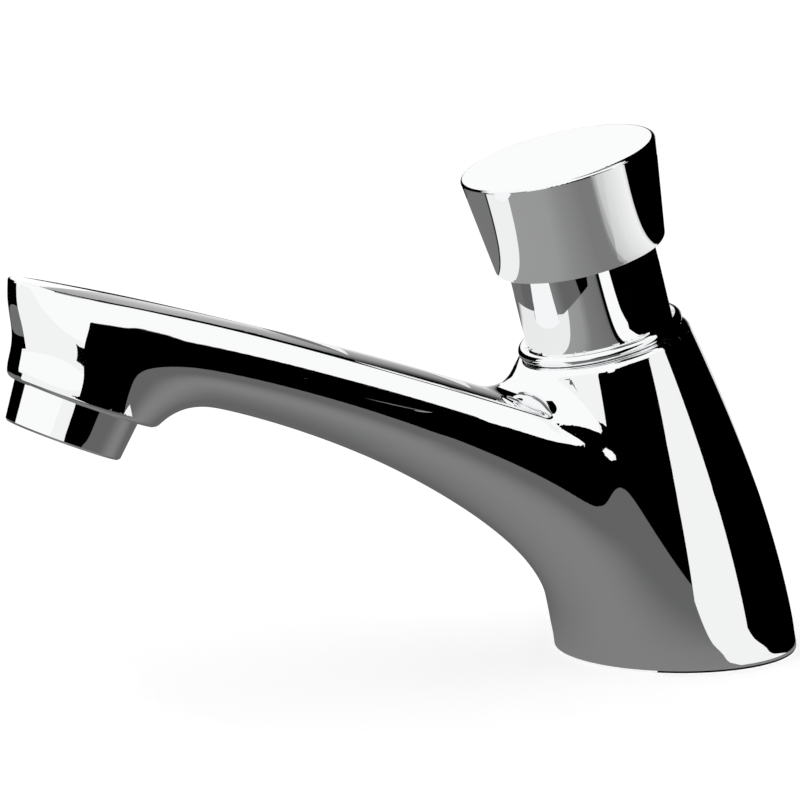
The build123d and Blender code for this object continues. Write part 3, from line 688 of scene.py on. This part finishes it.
# %% The spout as a field
spout_half_width = 13.0 * mm
spout_root_half_width = 16.5 * mm
rim_half_width = 10.8 * mm
flare_power = 2.5
band_flat = 4.2 * mm
band_reach = 9.6 * mm
band_lean = 0.32
band_flare = 0.6
widest_share = 0.5
keel_fullness = 1.075
nose_end_reach = 12.0 * mm
root_end_reach = 8.0 * mm
crown_at_tip = 0.2 * mm
crown_at_root = 1.1 * mm
crown_start = -120 * mm
crown_end = -55 * mm
top_lift = 0.65 * mm
top_lift_run = 105 * mm
rim_round = 0.5 * mm
fan_rounds = 22
end_share = 1e-5
least_size = 1e-9
least_pull = 1e-6


def ease(share):
    """A share from 0 to 1 that starts and ends softly."""
    return share ** 2 * (3 - 2 * share)


def above_top(y, z):
    """Height over the middle of the spout's top."""
    lift = top_lift * np.sin(pi * np.clip((y + tip_reach) / top_lift_run, 0, 1))
    return np.hypot(y - top_centre[0], z - top_centre[1]) - top_radius - lift


def top_field(x, y, z):
    """Distance above the spout's top, which is almost flat at the tip and crowned towards the mouth."""
    along = np.clip((y - crown_start) / (crown_end - crown_start), 0, 1)
    crown = crown_at_tip + (crown_at_root - crown_at_tip) * ease(along)
    return above_top(y, z) + crown * (x / rim_half_width) ** 2


def under_point(share):
    """A point of the underside, from the boss to the deck."""
    return np.interp(share, even_shares, under_y), np.interp(share, even_shares, under_z)


def fan_share(y, z):
    """Which section of the spout's fan a place lies in, from 0 over the nozzle to 1 at the deck."""
    low = np.zeros(np.broadcast(y, z).shape)
    high = np.ones_like(low)
    for _ in range(fan_rounds):
        share = (low + high) / 2
        top_y, top_z = top_point(share)
        bottom_y, bottom_z = under_point(share)
        past = (top_z - bottom_z) * (y - bottom_y) - (top_y - bottom_y) * (z - bottom_z) > 0
        low = np.where(past, share, low)
        high = np.where(past, high, share)
    return (low + high) / 2


def side_band(down):
    """How far the side stands in under the rim, and its lean: a flat band that rolls upright."""
    rest = band_reach - band_flat
    roll = np.clip(band_reach - down, 0, rest) / rest
    flat = np.clip(band_flat - down, 0, band_reach)
    return band_lean * (roll ** 2 * rest / 2 + flat), band_lean * roll


def spout_field(x, y, z):
    """Distance to the spout's sides and keel, closed by a round end inside the nose and the column."""
    share = fan_share(y, z)
    top_y, top_z = top_point(share)
    bottom_y, bottom_z = under_point(share)
    depth = np.hypot(top_y - bottom_y, top_z - bottom_z)
    up_y, up_z = (top_y - bottom_y) / depth, (top_z - bottom_z) / depth
    down = (top_y - y) * up_y + (top_z - z) * up_z
    aside = (y - top_y) * up_z - (z - top_z) * up_y
    end_reach = np.where(aside < 0, nose_end_reach, root_end_reach)
    end = np.where((share < end_share) | (share > 1 - end_share), aside / end_reach, 0)
    flare = share ** flare_power
    half_width = spout_half_width + (spout_root_half_width - spout_half_width) * flare
    widest = depth * widest_share
    inset, slope = side_band(-above_top(y, z))
    width = half_width - inset * (1 + band_flare * flare)
    slope = slope * (1 + band_flare * flare)
    keel = np.maximum((down - widest) / (depth - widest), 0)
    side = x / width
    size = np.sqrt(side ** 2 + keel ** 2 + keel_fullness * side ** 2 * keel ** 2 + end ** 2) + least_size
    pull_x = side * (1 + keel_fullness * keel ** 2) / width
    pull_down = keel * (1 + keel_fullness * side ** 2) / (depth - widest) - side ** 2 * slope / width
    pull_end = end / end_reach
    return (size - 1) * size / (np.sqrt(pull_x ** 2 + pull_down ** 2 + pull_end ** 2) + least_pull)


print("spout", 2 * spout_half_width, "m wide at the nozzle,", 2 * rim_half_width, "m over its rims")

# %% [markdown]
# The nose over the nozzle bulges forward near the top and is pinched in below. It is a stack of ovals
# on the nozzle's own axis, each with one reach forward and another back.

# %% The nose
nose_front_heights = np.array([0, 3, 6, 9, 12, 15, 16.5, 17.6]) * mm
nose_front_reaches = np.array([14.05, 14.6, 14.95, 16.4, 18.5, 19.9, 19.9, 19.5]) * mm
nose_front = np.polyfit(nose_front_heights, nose_front_reaches, 6)
nose_back = np.polyfit(np.array([0, 9.1, 17.2]) * mm, np.array([13.6, 10.5, 7.4]) * mm, 2)
nose_foot, nose_head = -2 * mm, 22 * mm
nose_widening = 10 * mm
boss_edge_round = 1.0 * mm


def nose_field(x, y, z):
    """Distance to the rounded nose, a stack of ovals that reach further forward than back."""
    behind, up = along_nozzle(y, z)
    height = np.clip(up, nose_foot, nose_head)
    reach = np.where(behind < 0, np.polyval(nose_front, height), np.polyval(nose_back, height))
    inset, _ = side_band(-above_top(y, z))
    low_share = np.clip(1 - height / nose_widening, 0, 1)
    half = spout_half_width - inset + (nozzle_radius - spout_half_width) * low_share ** 2
    size = np.sqrt((x / half) ** 2 + (behind / reach) ** 2) + least_size
    return (size - 1) * size / (np.hypot(x / half ** 2, behind / reach ** 2) + least_pull)


print("nose", nose_front_reaches.max(), "m forward of the nozzle's axis")

# %% [markdown]
# The joins carry the look. Where spout, nose and column run into each other the casting has wide
# ground fillets, and its rims are barely broken. Each join is a formula of two fields. A fillet of one
# radius swells where two forms run almost the same way, so its radius fades there. The joined field is
# kept on a grid and blurred by a millimetre or two, which is what polishing does, and near the rims
# the sharp field takes over again.

# %% Join two forms with a fillet or a rounded edge
def round_corner(first, second, radius):
    """The overlap of two fields with its outer corner rounded."""
    inside = np.minimum(np.maximum(first, second), -radius)
    return inside + np.hypot(np.maximum(first + radius, 0), np.maximum(second + radius, 0))


def melt(first, second, radius):
    """Join two fields with a fillet."""
    return np.maximum(radius, np.minimum(first, second)) \
        - np.hypot(np.maximum(radius - first, 0), np.maximum(radius - second, 0))


print("1 mm from two walls, a 3 mm fillet is", round(melt(1.0, 1.0, 3.0), 2), "mm away")

# %% Helpers for fields kept on a grid
grid_step = 0.8 * mm
grid_low = np.array([-27.3, -142.6, -2.3]) * mm
grid_high = np.array([27.3, 27.5, 88.0]) * mm
grid_counts = np.ceil((grid_high - grid_low) / grid_step).astype(int) + 1
grid_axes = [grid_low[axis] + grid_step * np.arange(grid_counts[axis]) for axis in range(3)]
grid_x, grid_y, grid_z = np.ix_(*grid_axes)
least_fillet = 0.05 * mm


def blur(grid, spread):
    """Smooth a grid evenly over a distance."""
    reach = int(3 * spread / grid_step) + 1
    places = np.arange(-reach, reach + 1) * grid_step
    weights = np.exp(-0.5 * (places / spread) ** 2)
    weights /= weights.sum()
    for axis in range(3):
        margin = [(reach, reach) if side == axis else (0, 0) for side in range(3)]
        wide = np.pad(grid, margin, mode="edge")
        grid = sum(weight * np.take(wide, range(shift, shift + grid.shape[axis]), axis)
                   for shift, weight in enumerate(weights))
    return grid


def blend_radius(first, second, radius):
    """Fillet radius on the grid, which fades where two forms run the same way."""
    one, two = np.gradient(first, grid_step), np.gradient(second, grid_step)
    size = np.sqrt(sum(a * a for a in one) * sum(b * b for b in two)) + least_size
    same = sum(a * b for a, b in zip(one, two)) / size
    return radius * (1 - same) + least_fillet


def sample(grid, points):
    """Read a grid between its nodes with cubic weights, which keeps the surface's curvature even."""
    place = (points - grid_low) / grid_step
    base = np.floor(place).astype(int)
    rest = place - base
    weights = np.stack([(1 - rest) ** 3, 3 * rest ** 3 - 6 * rest ** 2 + 4,
                        3 * rest + 3 * rest ** 2 - 3 * rest ** 3 + 1, rest ** 3]) / 6
    spots = [np.clip(base + shift, 0, np.array(grid.shape) - 1) for shift in (-1, 0, 1, 2)]
    total = np.zeros(len(points))
    for a in range(4):
        for b in range(4):
            across = weights[a][:, 0] * weights[b][:, 1]
            for c in range(4):
                total += across * weights[c][:, 2] * grid[spots[a][:, 0], spots[b][:, 1], spots[c][:, 2]]
    return total


print("a grid of", *grid_counts, "nodes,", grid_step, "m apart")

# %% Melt spout, nose and column together
corner_blend = 13.0 * mm
root_blend = 6.6 * mm
polish = 1.6 * mm
polish_loss = 0.1 * mm
boss_reach = 22 * mm
mouth_reach = 19.5 * mm
boss_zone = 20 * mm
rim_keep, rim_fade = 1.6 * mm, 4 * mm
top_keep, top_fade = 1 * mm, 3 * mm


def crisp_field(x, y, z, arm, root):
    """The casting with its rims, from the arm's field and the fillet radius at its root."""
    behind, up = along_nozzle(y, z)
    face = np.minimum(-up, boss_reach - np.hypot(x, behind))
    arm = round_corner(arm, face, boss_edge_round)
    arm = round_corner(arm, top_field(x, y, z), rim_round)
    behind, up = along_axis(y, z, axis_lean)
    mouth = np.minimum(up - mouth_height, mouth_reach - np.hypot(x, behind))
    body = melt(arm, column_field(x, y, z), root)
    body = round_corner(body, mouth, mouth_edge_round)
    return round_corner(body, -z, base_edge_round)


def rim_distance(x, y, z):
    """Zero on the rims and on the flat top, one a few millimetres away from them."""
    behind, up = along_nozzle(y, z)
    boss = np.where(np.hypot(x, behind) < boss_zone, up, 1)
    _, column_up = along_axis(y, z, axis_lean)
    nearest = np.minimum(np.minimum(z, boss), mouth_height - column_up)
    share = np.clip((nearest - rim_keep) / rim_fade, 0, 1)
    top = np.clip((-top_field(x, y, z) - top_keep) / top_fade, 0, 1)
    return ease(share) * ease(top)


spout_grid = spout_field(grid_x, grid_y, grid_z)
nose_grid = nose_field(grid_x, grid_y, grid_z)
column_grid = column_field(grid_x, grid_y, grid_z)
corner_grid = blur(blend_radius(spout_grid, nose_grid, corner_blend), polish)
arm_grid = blur(melt(spout_grid, nose_grid, corner_grid), polish) - polish_loss
rimmed_grid = round_corner(arm_grid, top_field(grid_x, grid_y, grid_z), rim_round)
root_grid = blur(blend_radius(rimmed_grid, column_grid, root_blend), polish)
crisp_grid = crisp_field(grid_x, grid_y, grid_z, arm_grid, root_grid)
calm_grid = blur(crisp_grid, polish) - polish_loss
print("melted", crisp_grid.size, "nodes,", int((crisp_grid < 0).sum()), "of them inside")

# %% [markdown]
# Between the nodes of the grid the field is read with cubic weights. Two tools work on it: its slope,
# which says which way is out, and a step that pulls points along that slope until they lie on the
# surface.

# %% Read the field and settle points on it
least_slope = 0.05
longest_move = 1 * mm


def casting_field(points):
    """Distance to the casting: crisp near its rims, polished elsewhere."""
    crisp = crisp_field(*points.T, sample(arm_grid, points), sample(root_grid, points))
    share = rim_distance(*points.T)
    return crisp * (1 - share) + sample(calm_grid, points) * share


def slope_at(points, step=0.05 * mm):
    """The direction in which the casting's field grows, by central steps."""
    grow = np.empty_like(points)
    for axis in range(3):
        shift = np.zeros(3)
        shift[axis] = step
        grow[:, axis] = casting_field(points + shift) - casting_field(points - shift)
    return grow / (2 * step)


def settle(points, rounds=4):
    """Pull points onto the casting's surface."""
    for _ in range(rounds):
        value = casting_field(points)
        grow = slope_at(points)
        move = value / np.maximum((grow ** 2).sum(1), least_slope)
        points = points - np.clip(move, -longest_move, longest_move)[:, None] * grow
    return points, value


top_middle = np.array([[0, *top_centre + top_up * top_radius]])
print("field at the middle of the top line:", round(casting_field(top_middle)[0] / mm, 2), "mm")

# %% [markdown]
# The net puts one point in each cell of the grid that the surface crosses and joins the points of
# neighbouring cells with quads. All points then slide along the slope until they lie on the surface.

# %% Draw a net of quads over the surface
cube_corners = [(a, b, c) for a in (0, 1) for b in (0, 1) for c in (0, 1)]


def crossed_cells(inside):
    """The cells that the surface crosses: some of their eight corners are inside and some are not."""
    counts = np.array(inside.shape)
    total = np.zeros(counts - 1, int)
    for a, b, c in cube_corners:
        total += inside[a:counts[0] - 1 + a, b:counts[1] - 1 + b, c:counts[2] - 1 + c]
    return (total > 0) & (total < len(cube_corners))


def cell_points(values, cells):
    """The middle of the places where the surface cuts a cell's twelve edges, counted in cells."""
    sums = np.zeros((len(cells), 3))
    hits = np.zeros(len(cells))
    for corner in cube_corners:
        for axis in [axis for axis in range(3) if corner[axis] == 0]:
            start = cells + corner
            end = start.copy()
            end[:, axis] += 1
            one, two = values[tuple(start.T)], values[tuple(end.T)]
            cut = (one < 0) != (two < 0)
            place = start.astype(float)
            place[:, axis] += np.where(cut, one / np.where(cut, one - two, 1), 0)
            sums += place * cut[:, None]
            hits += cut
    return sums / hits[:, None]


def edge_quads(inside, number):
    """One quad round each grid edge that the surface cuts, from the numbers of the four cells there."""
    quads = []
    for axis in range(3):
        first, second = [slice(None)] * 3, [slice(None)] * 3
        first[axis], second[axis] = slice(0, -1), slice(1, None)
        one, two = inside[tuple(first)], inside[tuple(second)]
        edges = np.argwhere(one != two)
        leaving = one[tuple(edges.T)]
        side_a, side_b = [(1, 2), (2, 0), (0, 1)][axis]
        ring = []
        for da, db in ((-1, -1), (0, -1), (0, 0), (-1, 0)):
            cell = edges.copy()
            cell[:, side_a] += da
            cell[:, side_b] += db
            ring.append(number[tuple(np.clip(cell, 0, np.array(number.shape) - 1).T)])
        ring = np.array(ring).T
        ring[~leaving] = ring[~leaving][:, ::-1]
        quads.append(ring)
    return np.concatenate(quads)


share_grid = rim_distance(grid_x, grid_y, grid_z)
values = crisp_grid * (1 - share_grid) + calm_grid * share_grid
crossed = crossed_cells(values < 0)
number = -np.ones(crossed.shape, int)
number[crossed] = np.arange(crossed.sum())
points = grid_low + grid_step * cell_points(values, np.argwhere(crossed))
points, error = settle(points)
quads = edge_quads(values < 0, number)
casting_mesh = bpy.data.meshes.new("casting")
casting_mesh.from_pydata(points.tolist(), [], quads.tolist())
print("casting", len(points), "points, off the surface by at most", round(abs(error).max() / mm, 3), "mm")

# %% [markdown]
# The rims are rounded by half a millimetre, which the net's own quads are too large for. So the
# faces over which the slope turns sharply are split, twice, and their new points slide to the surface
# too. Flat and gently curved stretches keep their large quads.

# %% Refine the net along the rims
rim_turn = radians(14)
rim_passes = 2


def refine(net, turn):
    """Split the faces whose corners turn by more than an angle, and settle the new points."""
    net.verts.ensure_lookup_table()
    before = len(net.verts)
    facing_way = slope_at(np.array([vertex.co for vertex in net.verts]))
    facing_way /= np.linalg.norm(facing_way, axis=1)[:, None] + least_size
    limit = cos(turn)
    tight = []
    for face in net.faces:
        ways = facing_way[[vertex.index for vertex in face.verts]]
        if (ways @ ways.T).min() < limit:
            tight.append(face)
    edges = list(dict.fromkeys(edge for face in tight for edge in face.edges))
    bmesh.ops.subdivide_edges(net, edges=edges, cuts=1, use_grid_fill=True)
    net.verts.index_update()
    net.verts.ensure_lookup_table()
    fresh = net.verts[before:]
    settled, _ = settle(np.array([vertex.co for vertex in fresh]), rounds=3)
    for vertex, place in zip(fresh, settled):
        vertex.co = place
    return len(fresh)


net = bmesh.new()
net.from_mesh(casting_mesh)
for _ in range(rim_passes):
    print("added", refine(net, rim_turn), "points along the rims")
net.to_mesh(casting_mesh)
net.free()
casting_mesh.materials.append(finish_of["chromed_casting"])
casting_mesh.materials.append(machined_casting)
casting_mesh.shade_smooth()
casting = bpy.data.objects.new("casting", casting_mesh)
bpy.context.scene.collection.objects.link(casting)
print("casting has", len(casting_mesh.polygons), "faces before it is bored")

# %% [markdown]
# The casting is hollow where the real one is machined: a stepped bore for the timing cartridge along
# the leaning axis, the nozzle's bore, a threaded inlet, a threaded hole for the fixing stud and a
# groove for the seal under the base. Each is a turned shape, taken out one after another as on a
# lathe and a drill press. The bored walls keep the colour of bare machined brass.

# %% Helper for turned cutters
lathe_steps = 96


def lathe(name, outline, place, closed=False):
    """A solid of revolution from radius and height pairs that end on the axis or close as a ring."""
    mesh = bmesh.new()
    rows = []
    for radius, height in outline:
        if radius == 0:
            rows.append([mesh.verts.new((0, 0, height))])
            continue
        rows.append([mesh.verts.new((radius * cos(turn), radius * sin(turn), height))
                     for turn in np.linspace(0, 2 * pi, lathe_steps, endpoint=False)])
    pairs = list(zip(rows, rows[1:] + rows[:1])) if closed else list(zip(rows, rows[1:]))
    for low, high in pairs:
        for step in range(lathe_steps):
            after = (step + 1) % lathe_steps
            if len(low) == 1:
                mesh.faces.new((low[0], high[after], high[step]))
            elif len(high) == 1:
                mesh.faces.new((low[step], low[after], high[0]))
            else:
                mesh.faces.new((low[step], low[after], high[after], high[step]))
    bmesh.ops.recalc_face_normals(mesh, faces=mesh.faces)
    for face in mesh.faces:
        face.material_index = 1
        face.smooth = True
    data = bpy.data.meshes.new(name)
    mesh.to_mesh(data)
    mesh.free()
    data.materials.append(None)
    data.materials.append(machined_casting)
    cutter = bpy.data.objects.new(name, data)
    cutter.matrix_world = place
    bpy.context.scene.collection.objects.link(cutter)
    return cutter


def thread_outline(radius, start, turns, pitch, depth):
    """The zigzag of a thread's turns above a start height, as radius and height pairs."""
    return [(radius + depth * rise, start + pitch * turn + share * pitch)
            for turn in range(turns) for share, rise in ((0.15, 0), (0.5, 1), (0.85, 0))]


inlet_back, stud_back = -8.5 * mm, 9.5 * mm
chamber_radius, chamber_floor = 10.5 * mm, 16.5 * mm
barrel_radius, barrel_floor = 13.0 * mm, 33.0 * mm
window_radius, window_low, window_high = 14.4 * mm, 38.5 * mm, 45.0 * mm
aerator_radius, aerator_depth = 10.5 * mm, 7.5 * mm
waterway_radius, waterway_depth = 8.5 * mm, 11 * mm
inlet_radius, inlet_depth = 7.5 * mm, 9 * mm
strainer_radius, strainer_depth = 7.0 * mm, 11.2 * mm
feed_radius, feed_depth = 6.0 * mm, 17.5 * mm
stud_radius, stud_depth, drill_tip = 3.4 * mm, 10 * mm, 1 * mm
groove_inner, groove_outer, groove_depth = 18.6 * mm, 21.6 * mm, 1.6 * mm
thread_start = 0.6 * mm
inlet_thread = thread_outline(inlet_radius, thread_start, turns=8, pitch=1.0 * mm, depth=0.25 * mm)
stud_thread = thread_outline(stud_radius, thread_start, turns=10, pitch=0.9 * mm, depth=0.3 * mm)
print("threads end at", [round(thread[-1][1], 5) for thread in (inlet_thread, stud_thread)], "m")

# %% Outlines of the bores, from the axis outwards and back to it
over = 1 * mm
mouth_end = mouth_height + over
cartridge_outline = [
    (0, chamber_floor), (chamber_radius, chamber_floor), (chamber_radius, barrel_floor),
    (barrel_radius, barrel_floor), (barrel_radius, window_low), (window_radius, window_low),
    (window_radius, window_high), (barrel_radius, window_high), (barrel_radius, mouth_end),
    (0, mouth_end)]
nozzle_outline = [
    (0, -over), (aerator_radius, -over), (aerator_radius, aerator_depth),
    (waterway_radius, aerator_depth), (waterway_radius, waterway_depth), (0, waterway_depth)]
inlet_outline = [
    (0, -over), (inlet_radius, -over), *inlet_thread, (inlet_radius, inlet_depth),
    (strainer_radius, inlet_depth), (strainer_radius, strainer_depth), (feed_radius, strainer_depth),
    (feed_radius, feed_depth), (0, feed_depth)]
stud_outline = [
    (0, -over), (stud_radius, -over), *stud_thread, (stud_radius, stud_depth),
    (0, stud_depth + drill_tip)]
groove_outline = [
    (groove_inner, -over), (groove_outer, -over), (groove_outer, groove_depth),
    (groove_inner, groove_depth)]
print("the stack's bore is", round(mouth_height - chamber_floor, 4), "m deep")

# %% Bore the casting
upright = Matrix.Identity(4)
nozzle_face = Matrix.Translation((0, -nozzle_reach, nozzle_height))
nozzle_place = nozzle_face @ Matrix.Rotation(-nozzle_lean, 4, "X")
cutters = [
    lathe("cartridge_bore", cartridge_outline, Matrix.Rotation(axis_lean, 4, "X")),
    lathe("nozzle_bore", nozzle_outline, nozzle_place),
    lathe("inlet_bore", inlet_outline, Matrix.Translation((0, inlet_back, 0))),
    lathe("stud_bore", stud_outline, Matrix.Translation((0, stud_back, 0))),
    lathe("seal_groove", groove_outline, upright, closed=True),
]
for cutter in cutters:
    cut = casting.modifiers.new(cutter.name, "BOOLEAN")
    cut.operation = "DIFFERENCE"
    cut.solver = "EXACT"
    cut.object = cutter
bored_mesh = bpy.data.meshes.new_from_object(casting.evaluated_get(bpy.context.evaluated_depsgraph_get()))
casting.modifiers.clear()
casting.data = bored_mesh
for cutter in cutters:
    bpy.data.objects.remove(cutter)
print("bored with", len(cutters), "cutters:", len(bored_mesh.polygons), "faces")

# %% [markdown]
# The chrome takes its normals from the field's slope and not from its faces, so the reflections run as
# smoothly as the field does. The bored walls are shaded by their own faces, with a hard edge wherever
# two of them meet at more than a set angle.

# %% Set the casting's shading
sharp_angle = radians(35)
bored_mesh.set_sharp_from_angle(angle=sharp_angle)
places = np.empty(3 * len(bored_mesh.vertices))
bored_mesh.vertices.foreach_get("co", places)
places = places.reshape(-1, 3)
outward = slope_at(places)
outward /= np.linalg.norm(outward, axis=1)[:, None] + least_size
corner_points = np.empty(len(bored_mesh.loops), int)
bored_mesh.loops.foreach_get("vertex_index", corner_points)
kinds = np.empty(len(bored_mesh.polygons), int)
bored_mesh.polygons.foreach_get("material_index", kinds)
sizes = np.empty(len(bored_mesh.polygons), int)
bored_mesh.polygons.foreach_get("loop_total", sizes)
chromed = np.repeat(kinds, sizes) == 0
bored_mesh.normals_split_custom_set((outward[corner_points] * chromed[:, None]).tolist())
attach(casting, "tap")
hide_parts("tap_body")
print("casting has", len(bored_mesh.vertices), "points,", int((kinds == 1).sum()), "faces are bored")
